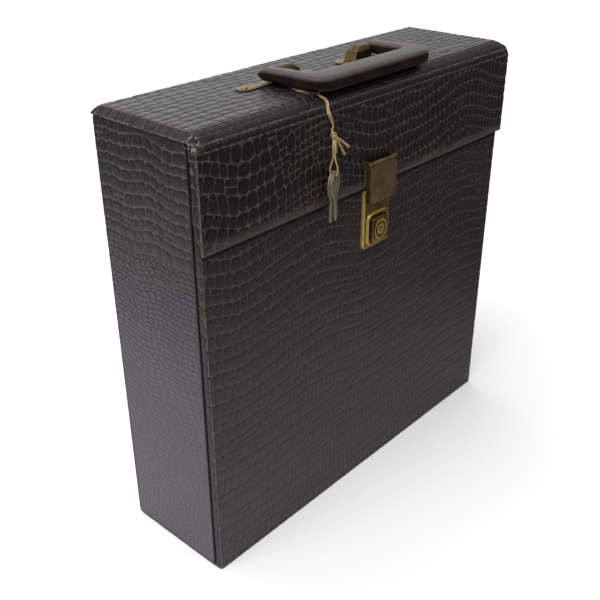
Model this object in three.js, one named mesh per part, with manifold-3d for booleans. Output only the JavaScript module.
// Record carrying case: a covered board box with a hinged lid and front flap, a sprung slide lock with
// a hasp, and a moulded handle on brass mounts. Millimetres, +Z up, front towards -Y, and the origin
// on the floor under the middle of the body.

import * as THREE from 'three';
import { mergeVertices } from 'three/addons/utils/BufferGeometryUtils.js';
import Module from 'manifold-3d';

const wasm = await Module();
wasm.setup();

// Clearances and general allowances
const fit = 0.3;
const overrun = 4;
const roundSides = 20;
const smallSides = 12;

// Case body, as carried upright
const caseWidth = 340;
const caseHeight = 332;
const bodyDepth = 96;
const boardThick = 5;
const clothThick = 0.8;
const panelThick = 1.6;
const liningThick = 0.5;
const sideBoardDrop = 0.4;
const frontWallDrop = 16;
const backWallDrop = 17;
const liningDrop = 20;
const bodyCorner = 2.4;
const panelFrontInset = 5.8;
const panelBackInset = 1.8;
const panelBottomInset = 1.8;

// Lid with its front flap
const lidBoardThick = 4.5;
const flapStandoff = 0.3;
const flapThick = 2.7;
const flapDrop = 74;
const frontBevelRun = 10.3;
const frontBevelDrop = 10.6;
const frontBevelBulge = 1.7;
const bevelCreaseShares = [0.33, 0.77];
const endBevelRun = 6;
const endBevelDrop = 4.8;
const backBevel = 3;
const railDepth = 7.7;
const lidSeam = 0.6;
const lidLiningInset = 7.2;
const flapLiningInset = 2;

// Lid hinges on the back
const hingeInset = 65;
const hingeWidth = 38;
const hingeLeafHeight = 15;
const leafThick = 0.9;
const hingeKnuckle = 1.6;
const hingePin = 0.9;
const hingeLift = 0.1;

// Hasp on the flap
const haspWidth = 31;
const haspDrop = 30;
const haspSheet = 1;
const haspAxisRise = 18;
const haspKnuckle = 1.5;
const haspPin = 0.75;
const haspOffset = 0.6;
const haspStand = 3.6;
const haspFlange = 3.2;
const haspCorner = 2.5;
const haspEdge = 0.6;
const haspEar = 3.3;
const haspPlateRise = 2;
const hookWidth = 8;
const hookThick = 1.6;
const hookBarb = 1.5;
const hookBarbThick = 1;
const hookUp = 2.2;
const haspGrip = 2.1;

// Slide lock on the body front
const lockWidth = 30;
const lockHeight = 46.4;
const lockGap = 2.6;
const lockDepth = 3.2;
const lockSheet = 0.8;
const lockCorner = 2.5;
const frameWidth = 24.8;
const frameHeight = 25.2;
const frameRise = 2;
const frameCorner = 5.4;
const buttonRaise = 14.6;
const buttonWidth = 19;
const buttonHeight = 20.6;
const buttonCorner = 5;
const buttonRise = 2.4;
const buttonTravel = 2.5;
const buttonEdge = 0.7;
const ringHalfWidth = 7.3;
const ringHalfHeight = 8.3;
const ringBand = 1.3;
const ringRise = 0.8;
const plugRadius = 4.5;
const plugRise = 0.7;
const plugTail = 4.2;
const keyholeRadius = 1.15;
const keyholeSlot = 0.8;
const keyholeDrop = 3.4;
const keyholeDepth = 5;
const catchThick = 0.8;
const catchWidth = 4.5;
const catchDrop = 5.2;
const camThick = 1;
const camRadius = 3.4;
const camReach = 6.6;
const lockCaseWall = 0.6;
const lockCaseWidth = 24.4;
const lockCaseMargin = 3;
const lockCaseDrop = 4.4;
const slotWidth = 10.6;
const slotOffset = 0.75;
const slotHeight = 9;
const slotDrop = 2.8;
const springRadius = 0.8;
const springWire = 0.22;
const springTurns = 4;
const springDrop = 5.6;

// Handle, folded forward, and its mounts on the lid
const handleRow = 2;
const pivotHeight = 6.4;
const handleHalf = 63;
const armWidth = 12;
const armHalfThick = 4.5;
const gripDepth = 20;
const gripRise = 5.5;
const handleReach = 53;
const outerCorner = 13;
const innerCorner = 5;
const handleEdge = 3.2;
const knuckleStartShare = 0.08;
const armBore = 2.3;
const pinRadius = 2;
const pinDepthInHood = 8;
const mountInner = 15;
const mountOuter = 86;
const mountWidth = 11;
const mountThick = 0.9;
const hoodInner = 29;
const hoodGap = 2;
const hoodShoulder = 8;
const hoodRise = 10.2;
const hoodWidth = 10.4;
const hoodWall = 1.1;
const earRivet = 6.2;

// Rivets
const rivetHead = 2.6;
const rivetDome = 1.1;
const rivetShank = 1.5;
const rivetTail = 2.2;
const rivetTailThick = 0.7;

// Twine with the two keys, hanging in front of the flap
const twineRadius = 0.6;
const twineSides = 6;
const twineStep = 2.4;
const twineLift = 0.2;
const twineLane = -56;
const twineSwing = 10.2;
const twineReturn = 4;
const twineWave = 1.3;
const twineStray = 2.6;
const twineWaves = 2;
const twineLayShare = 0.96;
const twineLidShares = [0.08, 0.16, 0.26, 0.42, 0.58, 0.75, 0.89];
const twineBevelShares = [0, 0.2, 0.45, 0.68, 0.86];
const twineFlapShares = [0.03, 0.31, 0.58, 0.8];
const twineDropShare = 0.2;
const twineTurnShare = 0.75;
const twineEndShare = 1.15;
const twineStrayShare = 0.5;
const twineOpeningShares = [0.1, 0.3];
const twineTwistShares = [0.72, 1];
const loopGapShare = 1.3;
const loopShares = [0.3, 0.62];
const tailAcross = [1.2, 10.2, 14.2];
const tailDown = [11.5, 15, 10.6];
const tailForward = 1;
const tailBendShare = 0.45;
const knotRadius = 1.6;
const knotDrop = 26;
const knotCore = 1.5;
const knotAside = 2.6;
const keyThick = 1.3;
const keyPitch = 1.6;
const keyBowHalfWidth = 8.6;
const keyBowHalfHeight = 9.8;
const keyBowDrop = 58.6;
const keyHole = 2.2;
const keyHoleRise = 5.4;
const keyBladeHalf = 2.6;
const keyShoulder = 3.8;
const keyLength = 26.4;
const keyBit = 2;
const keyStandoff = 5;
const keyTurnDegrees = 20;
const keySwingDegrees = 5;
const keyTeeth = 3;
const keyTeethShare = 0.75;
const keyToothShares = [0.3, 0.7];

// Places worked out from the sizes above
const lidTop = caseHeight;
const lidUnder = lidTop - clothThick - lidBoardThick;
const sidePanelTop = lidUnder - fit;
const frontWallTop = lidTop - frontWallDrop;
const backWallTop = lidTop - backWallDrop;
const liningTop = lidTop - liningDrop;
const flapBottom = lidTop - flapDrop;
const haspAxisHeight = flapBottom + haspAxisRise;
const haspPlateBottom = flapBottom + haspPlateRise;
const lockTop = flapBottom - lockGap;
const lockBottom = lockTop - lockHeight;
const lockCentre = lockBottom + buttonRaise;
const lockCaseBottom = lockBottom + lockCaseMargin;
const lockCaseTop = lockTop - lockCaseDrop;
const slotTop = lockTop - slotDrop;
const slotBottom = slotTop - slotHeight;
const catchTop = lockTop - catchDrop;
const springHeight = lockCentre - springDrop;
const knotHeight = lidTop - knotDrop;
const keyBowHeight = lidTop - keyBowDrop;
const halfWidth = caseWidth / 2;
const bodyFront = -bodyDepth / 2;
const bodyBack = bodyDepth / 2;
const boardHalf = halfWidth - panelThick;
const clothHalf = halfWidth - panelThick + clothThick;
const frontInner = bodyFront + clothThick + boardThick;
const backInner = bodyBack - clothThick - boardThick;
const floorTop = clothThick + boardThick;
const bayHalf = boardHalf - boardThick;
const flapInner = bodyFront - flapStandoff;
const flapFront = flapInner - flapThick;
const hingeAxisY = bodyBack + hingeKnuckle + hingeLift;
const hingeAxisZ = backWallTop + lidSeam / 2;
const lidBackBottom = backWallTop + lidSeam;
const lidFrontBottom = frontWallTop + lidSeam / 2;
const bevelBottom = lidTop - frontBevelDrop;
const bevelTop = flapFront + frontBevelRun;
const railBack = flapFront + railDepth;
const lockFace = bodyFront - lockDepth;
const lockInside = lockFace + lockSheet;
const frameFace = lockFace - frameRise;
const buttonFace = frameFace - buttonRise;
const buttonRest = -buttonTravel / 2;
const haspAxisY = flapFront - haspStand;
const pivotZ = lidTop + pivotHeight;
const armInner = handleHalf - armWidth;
const hoodOuter = armInner - hoodGap;

// Meshes to solids and back
function solid(geometry) {
  const source = geometry.index ? geometry : geometry.clone();
  source.deleteAttribute('normal');
  source.deleteAttribute('uv');
  const merged = mergeVertices(source);
  return new wasm.Manifold(new wasm.Mesh({
    numProp: 3,
    vertProperties: new Float32Array(merged.attributes.position.array),
    triVerts: new Uint32Array(merged.index.array),
  }));
}

function surface(manifold) {
  const mesh = manifold.getMesh();
  const geometry = new THREE.BufferGeometry();
  geometry.setAttribute('position', new THREE.BufferAttribute(new Float32Array(mesh.vertProperties), 3));
  geometry.setIndex(new THREE.BufferAttribute(new Uint32Array(mesh.triVerts), 1));
  geometry.computeVertexNormals();
  return geometry;
}

// Basic solids: a box between limits, a round bar along an axis and prisms along each axis
function block([x0, x1], [y0, y1], [z0, z1]) {
  const geometry = new THREE.BoxGeometry(x1 - x0, y1 - y0, z1 - z0);
  geometry.translate((x0 + x1) / 2, (y0 + y1) / 2, (z0 + z1) / 2);
  return solid(geometry);
}

function bar(axis, from, to, radius, [a, b], sides = roundSides) {
  const geometry = new THREE.CylinderGeometry(radius, radius, to - from, sides);
  if (axis === 'x') geometry.rotateZ(-Math.PI / 2);
  if (axis === 'z') geometry.rotateX(Math.PI / 2);
  const middle = (from + to) / 2;
  if (axis === 'x') geometry.translate(middle, a, b);
  if (axis === 'y') geometry.translate(a, middle, b);
  if (axis === 'z') geometry.translate(a, b, middle);
  return solid(geometry);
}

function outline(points) {
  return new THREE.Shape(points.map(([a, b]) => new THREE.Vector2(a, b)));
}

function extrude(shape, depth, edge = 0, edgeSteps = 2, curveSegments = 5) {
  return new THREE.ExtrudeGeometry(shape, {
    depth: depth - 2 * edge, bevelEnabled: edge > 0, bevelThickness: edge, bevelSize: edge,
    bevelOffset: -edge, bevelSegments: edgeSteps, curveSegments,
  }).translate(0, 0, edge);
}

// A prism along X takes its outline in (y, z), one along Y in (x, z) and one along Z in (x, y).
function prismX(shape, from, to) {
  const geometry = extrude(shape, to - from);
  const turn = new THREE.Matrix4().makeBasis(
    new THREE.Vector3(0, 1, 0), new THREE.Vector3(0, 0, 1), new THREE.Vector3(1, 0, 0));
  geometry.applyMatrix4(turn);
  geometry.translate(from, 0, 0);
  return solid(geometry);
}

function prismY(shape, front, back, edge = 0) {
  const geometry = extrude(shape, back - front, edge);
  const turn = new THREE.Matrix4().makeBasis(
    new THREE.Vector3(1, 0, 0), new THREE.Vector3(0, 0, 1), new THREE.Vector3(0, -1, 0));
  geometry.applyMatrix4(turn);
  geometry.translate(0, back, 0);
  return solid(geometry);
}

function prismZ(shape, from, to) {
  const geometry = extrude(shape, to - from);
  geometry.translate(0, 0, from);
  return solid(geometry);
}

function roundedRect(width, height, radius, [a, b] = [0, 0]) {
  const shape = new THREE.Shape();
  const right = width / 2;
  const top = height / 2;
  shape.moveTo(a + right, b - top + radius);
  shape.lineTo(a + right, b + top - radius);
  shape.absarc(a + right - radius, b + top - radius, radius, 0, Math.PI / 2);
  shape.lineTo(a - right + radius, b + top);
  shape.absarc(a - right + radius, b + top - radius, radius, Math.PI / 2, Math.PI);
  shape.lineTo(a - right, b - top + radius);
  shape.absarc(a - right + radius, b - top + radius, radius, Math.PI, 1.5 * Math.PI);
  shape.lineTo(a + right - radius, b - top);
  shape.absarc(a + right - radius, b - top + radius, radius, 1.5 * Math.PI, 2 * Math.PI);
  return shape;
}

// The same open line moved sideways to its right by a distance, its corners kept sharp
function shifted(points, distance) {
  const lines = points.slice(1).map((end, i) => {
    const start = points[i];
    const length = Math.hypot(end[0] - start[0], end[1] - start[1]);
    const along = [(end[0] - start[0]) / length, (end[1] - start[1]) / length];
    const side = [along[1] * distance, -along[0] * distance];
    const moved = (point) => [point[0] + side[0], point[1] + side[1]];
    return { start: moved(start), end: moved(end), along };
  });
  const corners = lines.slice(1).map((next, i) => {
    const last = lines[i];
    const cross = last.along[0] * next.along[1] - last.along[1] * next.along[0];
    const gap = [next.start[0] - last.start[0], next.start[1] - last.start[1]];
    const run = (gap[0] * next.along[1] - gap[1] * next.along[0]) / cross;
    return [last.start[0] + last.along[0] * run, last.start[1] + last.along[1] * run];
  });
  return [lines[0].start, ...corners, lines[lines.length - 1].end];
}

// The same surface on the other side of the case's middle, its triangles turned round to face outwards
function mirrored(geometry) {
  const copy = geometry.clone().scale(-1, 1, 1);
  const index = copy.index.array;
  for (let i = 0; i < index.length; i += 3) [index[i], index[i + 1]] = [index[i + 1], index[i]];
  copy.computeVertexNormals();
  return copy;
}

const root = new THREE.Group();
const body = new THREE.Group();
const lid = new THREE.Group();
root.add(body, lid);

function material(color, roughness, metalness) {
  return new THREE.MeshStandardMaterial({ color, roughness, metalness });
}

function add(parent, name, piece, colour) {
  const mesh = new THREE.Mesh(piece.isBufferGeometry ? piece : surface(piece), colour);
  mesh.name = name;
  parent.add(mesh);
  return mesh;
}

const leathercloth = () => material(0x2e2624, 0.38, 0);
const board = () => material(0x9a7f5e, 0.85, 0);
const lining = () => material(0x3b2f2a, 0.9, 0);
const brass = () => material(0xb8954a, 0.35, 1);
const steel = () => material(0x8c8a84, 0.4, 1);
const moulding = () => material(0x4c4240, 0.3, 0);
const twine = () => material(0xd0ac68, 0.8, 0);

// Rivets: a domed head outside, a shank, and a peened tail inside
function rivet(thickness) {
  const profile = [[0, -thickness - rivetTailThick], [rivetTail, -thickness - rivetTailThick],
    [rivetTail, -thickness], [rivetShank, -thickness], [rivetShank, 0], [rivetHead, 0]];
  const steps = 4;
  for (let i = 1; i <= steps; i += 1) {
    const turn = (i / steps) * Math.PI / 2;
    profile.push([rivetHead * Math.cos(turn), rivetDome * Math.sin(turn)]);
  }
  profile[profile.length - 1][0] = 0;
  return new THREE.LatheGeometry(profile.map(([r, h]) => new THREE.Vector2(r, h)), smallSides);
}

// Every rivet is set by its head's seat, the way it faces, and the thickness that it clamps.
function setRivet(parent, name, seat, facing, thickness) {
  const geometry = rivet(thickness);
  if (facing === 'up') geometry.rotateX(Math.PI / 2);
  if (facing === 'front') geometry.rotateX(Math.PI);
  geometry.translate(...seat);
  add(parent, name, solid(geometry), brass());
}

const shankHole = rivetShank + fit / 3;

// Sheet places that the rivets pass through
const leafRivetX = hingeWidth / 2 - rivetHead - 2 * leafThick;
const lowerRivetZ = hingeAxisZ - hingeLeafHeight / 2 - hingeKnuckle;
const upperRivetZ = (lidUnder + lidBackBottom) / 2 + hingeKnuckle / 2;
const hingeCentres = [hingeInset - halfWidth, halfWidth - hingeInset];
const leafRivets = hingeCentres.flatMap((x) => [x - leafRivetX, x + leafRivetX]);
const haspRivetX = hookWidth;
const haspRivetZ = (haspPlateBottom + haspAxisHeight) / 2 - haspKnuckle;
const mountRivets = [mountInner + earRivet, mountOuter - earRivet].flatMap((x) => [-x, x]);

// Body boards
const frontWall = block([-boardHalf, boardHalf], [bodyFront + clothThick, frontInner],
  [floorTop, frontWallTop - clothThick]);
const lockOpening = block([-lockCaseWidth / 2, lockCaseWidth / 2],
  [bodyFront - overrun, frontInner + overrun], [lockCaseBottom, lockCaseTop]);
const lowerHoles = leafRivets.map((x) => bar('y', backInner - overrun, bodyBack + overrun,
  shankHole, [x, lowerRivetZ], smallSides));
const drill = (piece, holes) => holes.reduce((left, hole) => left.subtract(hole), piece);

add(body, 'front_board', frontWall.subtract(lockOpening), board());
add(body, 'back_board', drill(block([-boardHalf, boardHalf], [backInner, bodyBack - clothThick],
  [floorTop, backWallTop - clothThick]), lowerHoles), board());
add(body, 'bottom_board', block([-boardHalf, boardHalf], [bodyFront + clothThick, bodyBack - clothThick],
  [clothThick, floorTop]), board());
for (const [side, name] of [[-1, 'left'], [1, 'right']]) {
  const [x0, x1] = [side * bayHalf, side * boardHalf].sort((a, b) => a - b);
  add(body, `${name}_side_board`, block([x0, x1], [frontInner, backInner],
    [floorTop, sidePanelTop - sideBoardDrop]), board());
}

// Leathercloth round the body: one piece turned over the front's edges, one under, one on the back
const plan = roundedRect(2 * clothHalf, bodyDepth, bodyCorner);
const wrap = prismZ(plan, clothThick, frontWallTop);
const insideBoards = block([-boardHalf, boardHalf], [bodyFront + clothThick, bodyBack - clothThick],
  [0, frontWallTop - clothThick]);
const frontBand = block([-halfWidth, halfWidth], [bodyFront - overrun, frontInner], [0, frontWallTop]);
const frontEnds = block([-halfWidth, halfWidth],
  [bodyFront - overrun, bodyFront + panelFrontInset - fit], [0, frontWallTop + overrun]);
const topFold = block([-boardHalf, boardHalf], [bodyFront, frontInner], [0, frontWallTop + overrun]);
const frontCloth = wrap.intersect(frontBand).intersect(frontEnds.add(topFold)).subtract(insideBoards);
add(body, 'front_covering', frontCloth.subtract(lockOpening), leathercloth());

const backBand = block([-halfWidth, halfWidth], [backInner, bodyBack + overrun], [0, backWallTop]);
const backInside = block([-boardHalf, boardHalf], [0, bodyBack - clothThick], [0, backWallTop - clothThick]);
const backEnds = block([-halfWidth, halfWidth], [bodyBack - panelBackInset + fit, bodyBack + overrun],
  [0, backWallTop]);
const backFold = block([-boardHalf, boardHalf], [backInner, bodyBack], [0, backWallTop]);
const backCloth = wrap.intersect(backBand).intersect(backEnds.add(backFold)).subtract(backInside);
add(body, 'back_covering', drill(backCloth, lowerHoles), leathercloth());
add(body, 'bottom_covering', prismZ(plan, 0, clothThick), leathercloth());

// Side panels: stiff covered cards let in behind the front's turned edge
for (const [side, name] of [[-1, 'left'], [1, 'right']]) {
  const front = bodyFront + panelFrontInset;
  const back = bodyBack - panelBackInset;
  const centre = [(front + back) / 2, (sidePanelTop + panelBottomInset) / 2];
  const card = roundedRect(back - front, sidePanelTop - panelBottomInset, bodyCorner, centre);
  const [x0, x1] = [side * boardHalf, side * halfWidth].sort((a, b) => a - b);
  add(body, `${name}_side_panel`, prismX(card, x0, x1), leathercloth());
}

// Lining of the record space: a tray of coated paper on the boards
const trayOut = block([-bayHalf, bayHalf], [frontInner, backInner], [floorTop, liningTop]);
const trayIn = block([-bayHalf + liningThick, bayHalf - liningThick],
  [frontInner + liningThick, backInner - liningThick], [floorTop + liningThick, liningTop + overrun]);
add(body, 'body_lining', drill(trayOut.subtract(trayIn), lowerHoles), lining());

// Front bevel in (y, z): a point at a share of the way down it, raised off its straight line by the bulge
const bevelLength = Math.hypot(frontBevelRun, frontBevelDrop);
function bevelPoint(share, lift = 0) {
  const rise = lift + 4 * share * (1 - share) * frontBevelBulge;
  return [bevelTop - (share * frontBevelRun + rise * frontBevelDrop / bevelLength),
    lidTop - share * frontBevelDrop + rise * frontBevelRun / bevelLength];
}
const bevelCreases = bevelCreaseShares.map((share) => bevelPoint(share));

// Lid section in (y, z), outside line from the back seam over the top and down the flap
const lidOutside = [[bodyBack, lidBackBottom], [bodyBack, lidTop - backBevel],
  [bodyBack - backBevel, lidTop], [bevelTop, lidTop], ...bevelCreases, [flapFront, bevelBottom],
  [flapFront, flapBottom], [flapInner, flapBottom]];
const lidInside = shifted(lidOutside, -clothThick);
const lidEnds = [[-halfWidth, flapBottom - overrun], [-halfWidth, lidTop - endBevelDrop],
  [-halfWidth + endBevelRun, lidTop], [halfWidth - endBevelRun, lidTop],
  [halfWidth, lidTop - endBevelDrop], [halfWidth, flapBottom - overrun]];
const lidEndsInside = shifted(lidEnds, clothThick);
const [coreSeam, coreBack, coreBackTop, coreTop] = lidInside;
const coreBevel = lidInside.slice(lidOutside.indexOf(bevelCreases[0]), -2);
const coreFlap = coreBevel[coreBevel.length - 1];
const lidUnderside = [[flapInner, lidFrontBottom], [railBack, lidFrontBottom], [railBack, lidUnder],
  [backInner + fit, lidUnder], [backInner + fit, lidBackBottom]];
const endLimit = prismY(outline([...lidEnds].reverse()), flapFront - overrun, bodyBack + overrun);
const coreLimit = prismY(outline([...lidEndsInside].reverse()), flapFront - overrun, bodyBack + overrun);
const backRailHalf = boardHalf - fit;
const lidHoles = mountRivets.map((x) => bar('z', lidUnder - overrun, lidTop + overrun,
  shankHole, [x, handleRow], smallSides));
const upperHoles = leafRivets.map((x) => bar('y', backInner - overrun, bodyBack + overrun,
  shankHole, [x, upperRivetZ], smallSides));
const haspSeat = flapFront - haspSheet + fit;
const flapHoles = [-haspRivetX, haspRivetX].flatMap((x) => [
  bar('y', flapFront - overrun, haspSeat + haspGrip, shankHole, [x, haspRivetZ], smallSides),
  bar('y', haspSeat + haspGrip, flapInner - liningThick, rivetTail + fit / 3, [x, haspRivetZ], smallSides)]);

// Leathercloth over the lid: top, bevels, flap and turned ends in one sheet
const lidShell = prismX(outline([...lidOutside, ...lidUnderside]), -halfWidth, halfWidth).intersect(endLimit);
const lidHollow = prismX(outline([...lidInside, [0, flapBottom + clothThick], [0, lidBackBottom - overrun],
  [coreSeam[0], lidBackBottom - overrun]]), -halfWidth, halfWidth).intersect(coreLimit);
const endNotches = [[-halfWidth - overrun, -backRailHalf], [backRailHalf, halfWidth + overrun]]
  .map((across) => block(across, [0, bodyBack + overrun], [flapBottom, lidUnder]));
const lidCloth = drill(drill(lidShell, endNotches).subtract(lidHollow), lidHoles);
add(lid, 'lid_covering', drill(drill(lidCloth, upperHoles), flapHoles), leathercloth());

// Lid boards: a thin top, bevelled rails front and back, and the flap
const topOutline = outline([[coreTop[0], lidUnder], [coreBack[0], lidUnder], coreBack, coreBackTop, coreTop]);
const topBoard = prismX(topOutline, -halfWidth, halfWidth).intersect(coreLimit);
add(lid, 'lid_board', drill(topBoard, lidHoles), board());
const frontRail = prismX(outline([[coreFlap[0], lidFrontBottom], [railBack, lidFrontBottom],
  [railBack, lidUnder], [coreTop[0], lidUnder], coreTop, ...coreBevel]), -halfWidth, halfWidth)
  .intersect(coreLimit);
add(lid, 'front_rail', frontRail, board());
add(lid, 'back_rail', drill(block([-backRailHalf, backRailHalf], [backInner + fit, coreSeam[0]],
  [lidBackBottom, lidUnder]), upperHoles), board());
const flapCore = flapInner - liningThick;
add(lid, 'flap_board', drill(block([lidEndsInside[0][0], -lidEndsInside[0][0]], [coreFlap[0], flapCore],
  [flapBottom + clothThick, lidFrontBottom]), flapHoles), board());

// Lid linings, glued under the top board and behind the flap
const underLining = block([-halfWidth + lidLiningInset, halfWidth - lidLiningInset],
  [railBack, backInner + fit], [lidUnder - liningThick, lidUnder]);
add(lid, 'lid_lining', drill(underLining, lidHoles), lining());
add(lid, 'flap_lining', block([-halfWidth + flapLiningInset, halfWidth - flapLiningInset],
  [flapCore, flapInner], [flapBottom + clothThick, lidFrontBottom]), lining());

// A hinge leaf or hasp plate: a flat sheet whose edge is rolled round the pin in some stretches
function rolledSheet({ stretches, width, axisZ, axisY, knuckle, pin, sheet, face, far, up, centre }) {
  const reach = knuckle + fit;
  const near = up ? axisZ + reach : axisZ - reach;
  let piece = block([centre - width / 2, centre + width / 2], [face, face + sheet],
    up ? [near, far] : [far, near]);
  for (const [from, to] of stretches) {
    const [x0, x1] = [centre + from, centre + to];
    const web = block([x0, x1], [face, face + sheet], up ? [axisZ, near + fit] : [near - fit, axisZ]);
    piece = piece.add(web).add(bar('x', x0, x1, knuckle, [axisY, axisZ]));
  }
  const bore = bar('x', centre - width, centre + width, pin + fit / 3, [axisY, axisZ], smallSides);
  return piece.subtract(bore);
}

// Lid hinges: a lower leaf with two knuckles on the body, an upper leaf with one on the lid
const third = hingeWidth / 3;
const leafFace = bodyBack;
hingeCentres.forEach((centre, i) => {
  const name = ['left', 'right'][i];
  const shared = { width: hingeWidth, axisY: hingeAxisY, axisZ: hingeAxisZ, knuckle: hingeKnuckle,
    pin: hingePin, sheet: leafThick, face: leafFace, centre };
  const lower = rolledSheet({ ...shared, up: false, far: hingeAxisZ - hingeLeafHeight - hingeKnuckle,
    stretches: [[-hingeWidth / 2, -third / 2 - fit / 2], [third / 2 + fit / 2, hingeWidth / 2]] });
  const upper = rolledSheet({ ...shared, up: true, far: lidUnder,
    stretches: [[-third / 2 + fit / 2, third / 2 - fit / 2]] });
  const rivets = [centre - leafRivetX, centre + leafRivetX];
  const holes = (z) => rivets.map((x) => bar('y', bodyBack - overrun, bodyBack + overrun,
    shankHole, [x, z], smallSides));
  add(body, `${name}_hinge_lower_leaf`, drill(lower, holes(lowerRivetZ)), brass());
  add(lid, `${name}_hinge_upper_leaf`, drill(upper, holes(upperRivetZ)), brass());
  add(body, `${name}_hinge_pin`, bar('x', centre - hingeWidth / 2, centre + hingeWidth / 2, hingePin,
    [hingeAxisY, hingeAxisZ], smallSides), steel());
  rivets.forEach((x, j) => {
    const place = ['outer', 'inner'][(i + j) % 2];
    const seat = bodyBack + leafThick;
    const lowerGrip = leafThick + clothThick + boardThick + liningThick;
    const upperGrip = leafThick + bodyBack - backInner - fit;
    setRivet(body, `${name}_hinge_lower_rivet_${place}`, [x, seat, lowerRivetZ], 'back', lowerGrip);
    setRivet(lid, `${name}_hinge_upper_rivet_${place}`, [x, seat, upperRivetZ], 'back', upperGrip);
  });
});

// Lock plate: a pressed tray with a stepped frame round the button and a slot for the hook
const trayHeight = lockTop - lockBottom;
const plateCentre = [0, (lockTop + lockBottom) / 2];
const windowWidth = buttonWidth + buttonTravel + 2 * fit;
const buttonWindow = prismY(roundedRect(windowWidth, buttonHeight + 2 * fit, buttonCorner, [0, lockCentre]),
  frameFace - overrun, bodyFront + overrun);
const plateOut = prismY(roundedRect(lockWidth, trayHeight, lockCorner, plateCentre),
  lockFace, bodyFront + lockSheet, lockSheet);
const inFront = block([-lockWidth, lockWidth], [lockFace - overrun, bodyFront],
  [lockBottom - overrun, lockTop + overrun]);
const plateIn = prismY(roundedRect(lockWidth - 2 * lockSheet, trayHeight - 2 * lockSheet,
  lockCorner - lockSheet, plateCentre), lockInside, bodyFront + overrun);
const frameStep = prismY(roundedRect(frameWidth, frameHeight, frameCorner, [0, lockCentre]), frameFace,
  lockFace + lockSheet, lockSheet / 2);
const hookSlot = block([slotOffset - slotWidth / 2, slotOffset + slotWidth / 2],
  [lockFace - overrun, bodyFront + overrun], [slotBottom, slotTop]);
const lockTray = plateOut.intersect(inFront).subtract(plateIn);
add(body, 'lock_plate', drill(lockTray.add(frameStep), [buttonWindow, hookSlot]), brass());

// Lock case: a steel box let into the front board behind the plate
const caseOut = block([-lockCaseWidth / 2, lockCaseWidth / 2], [bodyFront, frontInner - fit],
  [lockCaseBottom, lockCaseTop]);
const caseIn = block([-lockCaseWidth / 2 + lockCaseWall, lockCaseWidth / 2 - lockCaseWall],
  [bodyFront - overrun, frontInner - fit - lockCaseWall],
  [lockCaseBottom + lockCaseWall, lockCaseTop - lockCaseWall]);
add(body, 'lock_case', caseOut.subtract(caseIn), steel());

// Slide button with its raised ring and the bore for the key plug
const buttonBack = lockInside + fit + fit / 3;
const plugBore = bar('y', buttonFace - overrun, bodyFront + overrun,
  plugRadius + fit, [buttonRest, lockCentre]);
const buttonBlock = prismY(roundedRect(buttonWidth, buttonHeight, buttonCorner, [buttonRest, lockCentre]),
  buttonFace, buttonBack, buttonEdge);
const ringShape = new THREE.Shape().absellipse(buttonRest, lockCentre,
  ringHalfWidth, ringHalfHeight, 0, 2 * Math.PI);
ringShape.holes.push(new THREE.Path().absellipse(buttonRest, lockCentre, ringHalfWidth - ringBand,
  ringHalfHeight - ringBand, 0, 2 * Math.PI, true));
const ring = prismY(ringShape, buttonFace - ringRise, buttonFace + ringRise, ringBand / 4);
const slide = new THREE.Group();
body.add(slide);
add(slide, 'lock_button', buttonBlock.add(ring).subtract(plugBore), brass());

// Catch carrier on the back of the button, with the arm that holds the hook
const carrierLeft = buttonRest - buttonWidth / 2 - 2 * fit;
const carrierRight = buttonRest + buttonWidth / 2 + 2 * fit;
const carrier = block([carrierLeft, carrierRight], [buttonBack, buttonBack + catchThick],
  [lockCentre - buttonHeight / 2 - 2 * fit, lockCentre + buttonHeight / 2 + 2 * fit]);
const armLeft = hookWidth / 2 + fit;
const armRight = armLeft + catchWidth;
const armOutline = outline([[armRight, lockCentre], [armRight, catchTop - catchWidth / 2],
  [armLeft + catchWidth / 2, catchTop], [armLeft, catchTop], [armLeft, lockCentre]]);
const catchArm = prismY(armOutline, buttonBack, buttonBack + catchThick);
add(slide, 'lock_catch', carrier.add(catchArm).subtract(plugBore), steel());

// Return spring of the slide, between the carrier and the tray's right wall
function coil(start, end, radius, wire, turns, height, depth) {
  class Helix extends THREE.Curve {
    getPoint(t, target = new THREE.Vector3()) {
      const turn = t * turns * 2 * Math.PI;
      return target.set(start + wire + t * (end - start - 2 * wire),
        depth + radius * Math.cos(turn), height + radius * Math.sin(turn));
    }
  }
  const wireSides = 5;
  const steps = turns * 8;
  const section = outline(Array.from({ length: wireSides }, (_, i) => {
    const turn = (i / wireSides) * 2 * Math.PI;
    return [wire * Math.cos(turn), wire * Math.sin(turn)];
  }));
  return new THREE.ExtrudeGeometry(section, { steps, bevelEnabled: false, extrudePath: new Helix() });
}
const springDepth = bodyFront - springRadius - springWire - fit;
add(body, 'lock_spring', solid(coil(carrierRight + fit, lockWidth / 2 - lockSheet - fit, springRadius,
  springWire, springTurns, springHeight, springDepth)), steel());

// Key plug with a keyhole, and the cam on its tail
const plugFace = buttonFace - plugRise;
const plugShape = new THREE.Shape().absarc(0, 0, plugRadius, 0, 2 * Math.PI);
const keyhole = new THREE.Path();
const slotStart = Math.asin(keyholeSlot / 2 / keyholeRadius);
keyhole.absarc(0, keyholeRadius, keyholeRadius, 1.5 * Math.PI - slotStart, -Math.PI / 2 + slotStart, true);
keyhole.lineTo(keyholeSlot / 2, -keyholeDrop + keyholeRadius);
keyhole.lineTo(-keyholeSlot / 2, -keyholeDrop + keyholeRadius);
plugShape.holes.push(keyhole);
const plugTop = prismY(plugShape, plugFace, plugFace + keyholeDepth);
const plugEnd = bar('y', plugFace + keyholeDepth, buttonBack + plugTail, plugRadius, [0, 0], roundSides);
const plug = new THREE.Group();
plug.position.set(buttonRest, 0, lockCentre);
slide.add(plug);
add(plug, 'key_plug', plugTop.add(plugEnd), brass());
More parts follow.
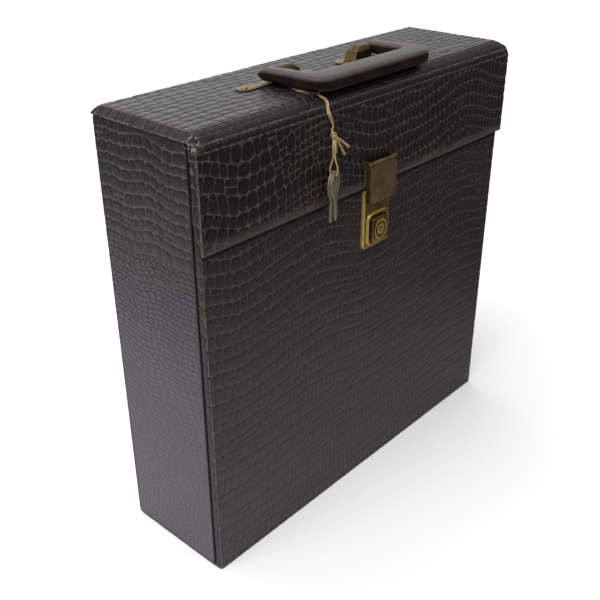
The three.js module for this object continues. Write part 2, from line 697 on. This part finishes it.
const camShape = outline([[-camRadius, -camRadius], [camRadius, -camRadius], [camRadius, camRadius],
  [camRadius / 2, camReach], [-camRadius / 2, camReach], [-camRadius, camRadius]]);
const camFront = buttonBack + plugTail;
add(plug, 'lock_cam', prismY(camShape, camFront, camFront + camThick), steel());

// Hasp: a plate riveted to the flap with an ear at each side for the pin, a tray-shaped cover with a rolled
// top, and the hook behind it
const earInner = haspWidth / 2 - haspEar;
const haspLeaf = rolledSheet({ width: haspWidth, axisY: haspAxisY, axisZ: haspAxisHeight,
  knuckle: haspKnuckle, pin: haspPin, sheet: flapFront - haspSeat, face: haspSeat,
  far: haspPlateBottom, up: false, centre: 0,
  stretches: [[-haspWidth / 2, -earInner], [earInner, haspWidth / 2]] });
const haspEars = [-1, 1].map((side) => {
  const across = [side * earInner, side * haspWidth / 2].sort((a, b) => a - b);
  const pinHole = bar('x', ...across, haspPin + fit / 3, [haspAxisY, haspAxisHeight], smallSides);
  return block(across, [haspAxisY, flapFront], [haspAxisHeight - haspKnuckle, haspAxisHeight + haspKnuckle])
    .subtract(pinHole);
});
const haspPlate = haspEars.reduce((plate, ear) => plate.add(ear), haspLeaf);
const haspHoles = [-haspRivetX, haspRivetX].map((x) => bar('y', flapFront - overrun, flapFront + overrun,
  shankHole, [x, haspRivetZ], smallSides));
add(lid, 'hasp_plate', drill(haspPlate, haspHoles), brass());
[['left', -haspRivetX], ['right', haspRivetX]].forEach(([name, x]) => {
  setRivet(lid, `${name}_hasp_rivet`, [x, haspSeat, haspRivetZ], 'front', haspGrip);
});
add(lid, 'hasp_pin', bar('x', -haspWidth / 2, haspWidth / 2, haspPin,
  [haspAxisY, haspAxisHeight], smallSides), brass());

const hasp = new THREE.Group();
hasp.position.set(0, haspAxisY, haspAxisHeight);
lid.add(hasp);
const coverFace = -haspOffset;
const coverTop = -haspKnuckle - fit;
const coverBack = coverFace + haspFlange;
const coverHeight = haspDrop + coverTop;
const coverMiddle = (coverTop - haspDrop) / 2;
const coverLimit = block([-haspWidth, haspWidth], [coverFace - overrun, coverBack], [-haspDrop, 0]);
const coverOut = prismY(roundedRect(haspWidth, coverHeight, haspCorner, [0, coverMiddle]),
  coverFace - haspSheet, coverBack + haspSheet, haspEdge).intersect(coverLimit);
const coverIn = prismY(roundedRect(haspWidth - 2 * haspSheet, coverHeight, haspCorner - haspSheet,
  [0, coverMiddle + haspSheet]), coverFace, coverBack + overrun);
const coverWeb = block([-earInner + fit, earInner - fit], [coverFace - haspSheet + haspEdge, coverFace],
  [coverTop - haspCorner, 0]);
const coverKnuckle = bar('x', -earInner + fit, earInner - fit, haspKnuckle, [0, 0]);
const coverBore = bar('x', -haspWidth, haspWidth, haspPin + fit / 3, [0, 0], smallSides);
const coverTray = coverOut.subtract(coverIn);
add(hasp, 'hasp_cover', coverTray.add(coverWeb).add(coverKnuckle).subtract(coverBore), brass());

// The hasp's hook, which enters the lock's slot and holds behind the slide's catch
const hookZ = (slotBottom + slotTop) / 2 - haspAxisHeight;
const hookEnd = bodyFront - haspAxisY;
const barbFront = lockInside + fit + fit / 3 + catchThick + fit - haspAxisY;
const hookShank = block([-hookWidth / 2, hookWidth / 2], [coverFace, barbFront + hookBarbThick],
  [hookZ, hookZ + hookThick]);
const barb = block([hookWidth / 2, hookWidth / 2 + hookBarb], [barbFront, barbFront + hookBarbThick],
  [hookZ, hookZ + hookThick]);
const hookFoot = block([-hookWidth / 2, hookWidth / 2], [coverFace, Math.min(coverFace + haspSheet, hookEnd)],
  [hookZ, hookZ + hookThick + hookUp]);
add(hasp, 'hasp_hook', hookShank.add(barb).add(hookFoot), steel());

// Handle mounts: a long brass plate with a hood pressed up over the pin, riveted through the lid
const hoodTop = lidTop + hoodRise;
function mount(side) {
  const plateShape = roundedRect(mountOuter - mountInner, mountWidth, mountWidth / 2 - fit / 3,
    [(mountInner + mountOuter) / 2, handleRow]);
  const plate = prismZ(plateShape, lidTop, lidTop + mountThick);
  const sideView = (wall) => outline([[hoodInner + wall, lidTop - wall], [hoodOuter - wall, lidTop - wall],
    [hoodOuter - wall, hoodTop - wall], [hoodInner + hoodShoulder, hoodTop - wall],
    [hoodInner + hoodShoulder / 3 + wall / 2, hoodTop - hoodRise / 3 - wall]]);
  const endView = (wall) => {
    const half = hoodWidth / 2 - wall;
    const arch = new THREE.Shape();
    arch.moveTo(handleRow - half, lidTop - 2 * wall);
    arch.lineTo(handleRow + half, lidTop - 2 * wall);
    arch.lineTo(handleRow + half, hoodTop - wall - half);
    arch.absarc(handleRow, hoodTop - wall - half, half, 0, Math.PI);
    return arch;
  };
  const hood = (wall) => prismY(sideView(wall), handleRow - hoodWidth, handleRow + hoodWidth)
    .intersect(prismX(endView(wall), hoodInner - overrun, hoodOuter + overrun));
  const foot = block([hoodInner, hoodOuter], [handleRow - hoodWidth, handleRow + hoodWidth],
    [lidTop - overrun, lidTop]);
  const bore = bar('x', hoodOuter - pinDepthInHood, hoodOuter + overrun, pinRadius + fit / 3,
    [handleRow, pivotZ], smallSides);
  const holes = [mountInner + earRivet, mountOuter - earRivet].map((x) => bar('z', lidTop - overrun,
    lidTop + overrun, shankHole, [x, handleRow], smallSides));
  const half = drill(plate.add(hood(0)).subtract(hood(hoodWall)).subtract(bore).subtract(foot), holes);
  return side > 0 ? surface(half) : mirrored(surface(half));
}
const lidGrip = mountThick + lidTop - lidUnder + liningThick;
const pinEnds = [hoodOuter - pinDepthInHood + fit, handleHalf - armWidth / 4];
for (const [side, name] of [[-1, 'left'], [1, 'right']]) {
  add(lid, `${name}_handle_mount`, mount(side), brass());
  const [x0, x1] = pinEnds.map((x) => side * x).sort((a, b) => a - b);
  add(lid, `${name}_handle_pin`, bar('x', x0, x1, pinRadius, [handleRow, pivotZ], smallSides), steel());
  [['inner', mountInner + earRivet], ['outer', mountOuter - earRivet]].forEach(([place, x]) => {
    setRivet(lid, `${name}_mount_rivet_${place}`, [side * x, handleRow, lidTop + mountThick], 'up', lidGrip);
  });
}

// Handle: one moulding, lofted between an outer and an inner outline from pivot to pivot
function handleStations() {
  const knuckleSteps = 5;
  const cornerSteps = 7;
  const rear = handleRow;
  const front = handleRow - handleReach;
  const back = front + gripDepth;
  const stations = [];
  for (let i = 0; i <= knuckleSteps; i += 1) {
    const turn = (Math.PI / 2) * (knuckleStartShare + (1 - knuckleStartShare) * (i / knuckleSteps));
    const y = rear + armHalfThick * Math.cos(turn);
    const half = armHalfThick * Math.sin(turn);
    stations.push({ outer: [-handleHalf, y], inner: [-armInner, y], low: half, high: half });
  }
  for (let i = 1; i < 3; i += 1) {
    const share = i / 3;
    const y = rear - share * (handleReach - gripDepth - innerCorner);
    const high = armHalfThick + share * (gripRise - armHalfThick);
    stations.push({ outer: [-handleHalf, y], inner: [-armInner, y], low: armHalfThick, high });
  }
  for (let i = 0; i <= cornerSteps; i += 1) {
    const turn = (i / cornerSteps) * Math.PI / 2;
    const [across, down] = [1 - Math.cos(turn), 1 - Math.sin(turn)];
    stations.push({
      outer: [-handleHalf + outerCorner * across, front + outerCorner * down],
      inner: [-armInner + innerCorner * across, back + innerCorner * down],
      low: armHalfThick, high: gripRise,
    });
  }
  const mirrored = stations.map(({ outer, inner, low, high }) => ({
    outer: [-outer[0], outer[1]], inner: [-inner[0], inner[1]], low, high })).reverse();
  const middle = { outer: [0, front], inner: [0, back], low: armHalfThick, high: gripRise };
  return [...stations, middle, ...mirrored];
}

function handleSection({ outer, inner, low, high }) {
  const width = Math.hypot(inner[0] - outer[0], inner[1] - outer[1]);
  const edge = Math.min(handleEdge, low, width / 2);
  const cornerSteps = 3;
  const ringPoints = [];
  const corners = [[edge, -low + edge, Math.PI], [width - edge, -low + edge, 1.5 * Math.PI],
    [width - edge, high - edge, 0], [edge, high - edge, Math.PI / 2]];
  for (const [across, up, start] of corners) {
    for (let i = 0; i <= cornerSteps; i += 1) {
      const turn = start + (i / cornerSteps) * Math.PI / 2;
      const share = (across + edge * Math.cos(turn)) / width;
      ringPoints.push([outer[0] + (inner[0] - outer[0]) * share, outer[1] + (inner[1] - outer[1]) * share,
        pivotZ + up + edge * Math.sin(turn)]);
    }
  }
  return ringPoints;
}

function loft(rings) {
  const count = rings[0].length;
  const vertices = rings.flat();
  const faces = [];
  for (let i = 0; i + 1 < rings.length; i += 1) {
    for (let j = 0; j < count; j += 1) {
      const next = (j + 1) % count;
      const [a, b, c, d] = [i * count + j, i * count + next, (i + 1) * count + next, (i + 1) * count + j];
      faces.push(a, b, c, a, c, d);
    }
  }
  const last = (rings.length - 1) * count;
  for (let j = 1; j + 1 < count; j += 1) {
    faces.push(0, j + 1, j);
    faces.push(last, last + j, last + j + 1);
  }
  const geometry = new THREE.BufferGeometry();
  geometry.setAttribute('position', new THREE.BufferAttribute(new Float32Array(vertices.flat()), 3));
  geometry.setIndex(faces);
  return geometry;
}
const boreEnds = [armInner - overrun, handleHalf - armWidth / 4 + fit];
const handleBores = [-1, 1].map((side) => {
  const [x0, x1] = boreEnds.map((x) => side * x).sort((a, b) => a - b);
  return bar('x', x0, x1, armBore, [handleRow, pivotZ], smallSides);
});
add(root, 'handle_grip', drill(solid(loft(handleStations().map(handleSection))), handleBores), moulding());

// Twine: a ring round the left handle pin, both strands laid together down to a knot
const ringX = -(hoodOuter + hoodGap / 2);
const ringRadius = pinRadius + twineRadius + fit / 2;
const onLid = lidTop + twineRadius + twineLift;
const onFlap = flapFront - twineRadius - twineLift;
const knotAt = [twineLane + knotAside, onFlap - knotRadius, knotHeight];

// Both strands side by side: one flat loft whose width opens out and then twists on the way down
function pairedTwine(points) {
  const path = new THREE.CatmullRomCurve3(points.map((p) => new THREE.Vector3(...p)), false, 'centripetal');
  const steps = Math.ceil(path.getLength() / twineStep);
  const across = new THREE.Vector3(1, 0, 0);
  const rings = [];
  for (let i = 0; i <= steps; i += 1) {
    const share = i / steps;
    const centre = path.getPointAt(share);
    const along = path.getTangentAt(share);
    const outward = along.clone().cross(across).normalize();
    const side = outward.clone().cross(along).normalize();
    const opening = THREE.MathUtils.smoothstep(share, ...twineOpeningShares) * twineRadius;
    const twist = THREE.MathUtils.smoothstep(share, ...twineTwistShares) * Math.PI;
    const flat = side.clone().multiplyScalar(Math.cos(twist)).addScaledVector(outward, Math.sin(twist));
    const thick = outward.clone().multiplyScalar(Math.cos(twist)).addScaledVector(side, -Math.sin(twist));
    const ringPoints = [];
    for (let j = 0; j <= twineSides * 2 - 1; j += 1) {
      const turn = -Math.PI / 2 + (Math.floor(j / twineSides) * twineSides + (j % twineSides) * twineSides
        / (twineSides - 1)) / twineSides * Math.PI;
      const lobe = j < twineSides ? opening : -opening;
      const spot = centre.clone().addScaledVector(flat, lobe + twineRadius * twineLayShare * Math.cos(turn))
        .addScaledVector(thick, twineRadius * Math.sin(turn));
      ringPoints.push([spot.x, spot.y, spot.z]);
    }
    rings.push(ringPoints);
  }
  return loft(rings);
}

function singleTwine(points) {
  const path = new THREE.CatmullRomCurve3(points.map((p) => new THREE.Vector3(...p)), false, 'centripetal');
  const section = outline(Array.from({ length: twineSides }, (_, i) => {
    const turn = (i / twineSides) * 2 * Math.PI;
    return [twineRadius * Math.cos(turn), twineRadius * Math.sin(turn)];
  }));
  const steps = Math.ceil(path.getLength() / twineStep);
  return new THREE.ExtrudeGeometry(section, { steps, bevelEnabled: false, extrudePath: path });
}

// Under the handle it swings out from the pin and part of the way back, and comes down onto the lid.
const { smoothstep } = THREE.MathUtils;
const lidRun = handleRow - bevelTop;
const ringDrop = pivotZ - ringRadius - onLid;
const leaving = Math.PI / 6;
const fromRing = [ringX, handleRow - ringRadius * Math.sin(leaving), pivotZ - ringRadius * Math.cos(leaving)];
const underHandle = twineLidShares.map((share) => {
  const out = twineSwing * smoothstep(share, twineLidShares[0], twineTurnShare);
  const back = twineReturn * smoothstep(share, twineTurnShare, twineEndShare);
  const rise = ringDrop * (1 - smoothstep(share, 0, twineDropShare));
  return [ringX - out + back, handleRow - share * lidRun, onLid + rise];
});

// It waves from side to side down the bevel and the flap, and strays towards the knot.
const offFlap = onFlap - twineRadius;
const knotRun = bevelBottom - knotHeight;
function wave(run) {
  const share = run / (bevelLength + knotRun);
  const sway = twineWave * Math.cos(share * twineWaves * 2 * Math.PI);
  return twineLane - sway + twineStray * smoothstep(share, twineStrayShare, 1);
}
const overBevel = twineBevelShares.map((share) => [wave(share * bevelLength),
  ...bevelPoint(share, twineRadius + twineLift)]);
const downFlap = twineFlapShares.map((share) => [wave(bevelLength + share * knotRun), offFlap,
  bevelBottom - share * knotRun]);
const twineRun = [fromRing, ...underHandle, ...overBevel, ...downFlap, knotAt];
const pinRing = new THREE.TorusGeometry(ringRadius, twineRadius, twineSides, roundSides).rotateY(Math.PI / 2)
  .translate(ringX, handleRow, pivotZ);
const knot = new THREE.TorusKnotGeometry(knotRadius, twineRadius, 40, twineSides, 2, 3).rotateX(Math.PI / 2)
  .translate(...knotAt);
const core = new THREE.SphereGeometry(knotCore, 8, 6).translate(...knotAt);

// Keys on the twine's end: the strand passes through both bows
const keyTurn = THREE.MathUtils.degToRad(keyTurnDegrees);
const keyAt = [twineLane, flapFront - keyStandoff, keyBowHeight];
const holeZ = keyBowHeight + keyHoleRise;
const through = (distance, z) => [keyAt[0] - distance * Math.sin(keyTurn),
  keyAt[1] + distance * Math.cos(keyTurn), z];
const passBy = keyPitch / 2 + keyThick / 2 + twineRadius + fit / 2;
const throughHole = holeZ + keyHole - twineRadius - fit / 2;
const bowTop = keyBowHeight + keyBowHalfHeight;
const loopStart = loopShares.map((share) => [twineRadius * loopGapShare,
  knotHeight - share * (knotHeight - bowTop)]);
const loopHalf = [...loopStart, [passBy + fit, bowTop + 4 * twineRadius],
  [passBy + fit, throughHole + keyPitch], [keyPitch, throughHole - fit]];
const loopDown = loopHalf.map(([distance, z]) => through(-distance, z));
const loopUp = loopHalf.map(([distance, z]) => through(distance, z)).reverse();
const keyLoop = [knotAt, ...loopDown, through(0, throughHole - fit - twineLift), ...loopUp, knotAt];
const tailTubes = tailAcross.map((across, i) => {
  const end = [knotAt[0] + across, knotAt[1] - tailForward, knotAt[2] - tailDown[i]];
  const bend = knotAt.map((from, k) => from + (end[k] - from) * tailBendShare);
  bend[0] += twineRadius;
  return singleTwine([knotAt, bend, end]);
});
const twinePieces = [pinRing, pairedTwine(twineRun), knot, core,
  singleTwine(keyLoop), ...tailTubes];
add(lid, 'key_string', twinePieces.map(solid).reduce((left, right) => left.add(right)), twine());

function keyOutline(bitSide) {
  const shape = new THREE.Shape();
  const neck = Math.asin(keyShoulder / keyBowHalfWidth);
  shape.absellipse(0, 0, keyBowHalfWidth, keyBowHalfHeight, -Math.PI / 2 + neck, 1.5 * Math.PI - neck);
  const left = -keyBladeHalf;
  const bottom = -keyLength;
  const points = [[left, -keyBowHalfHeight], [left, bottom + keyBit], [left + keyBit / 2, bottom],
    [0, bottom]];
  const span = (keyLength - keyBowHalfHeight) * keyTeethShare;
  for (let i = 0; i < keyTeeth; i += 1) {
    const low = bottom + (i / keyTeeth) * span;
    const depth = keyBladeHalf - (keyBit / 2) * (1 + ((i * 2 + bitSide) % keyTeeth) / 2);
    const [rising, falling] = keyToothShares.map((share) => low + share * span / keyTeeth);
    points.push([keyBladeHalf, rising], [depth, falling]);
  }
  points.push([keyBladeHalf, bottom + span], [keyBladeHalf, -keyBowHalfHeight]);
  points.forEach(([x, z]) => shape.lineTo(x, z));
  shape.holes.push(new THREE.Path().absarc(0, keyHoleRise, keyHole, 0, 2 * Math.PI, true));
  return shape;
}
const keyRing = new THREE.Group();
keyRing.position.set(...keyAt);
keyRing.rotation.z = keyTurn;
lid.add(keyRing);
for (const [number, side] of [[1, -1], [2, 1]]) {
  const front = side * keyPitch / 2 - keyThick / 2;
  const blank = prismY(keyOutline(number), front, front + keyThick, fit / 2);
  const key = add(keyRing, `key_${number}`, blank, steel());
  key.geometry.translate(0, 0, -keyHoleRise);
  key.position.z = keyHoleRise;
  key.rotation.y = side * THREE.MathUtils.degToRad(keySwingDegrees);
}

export default root;
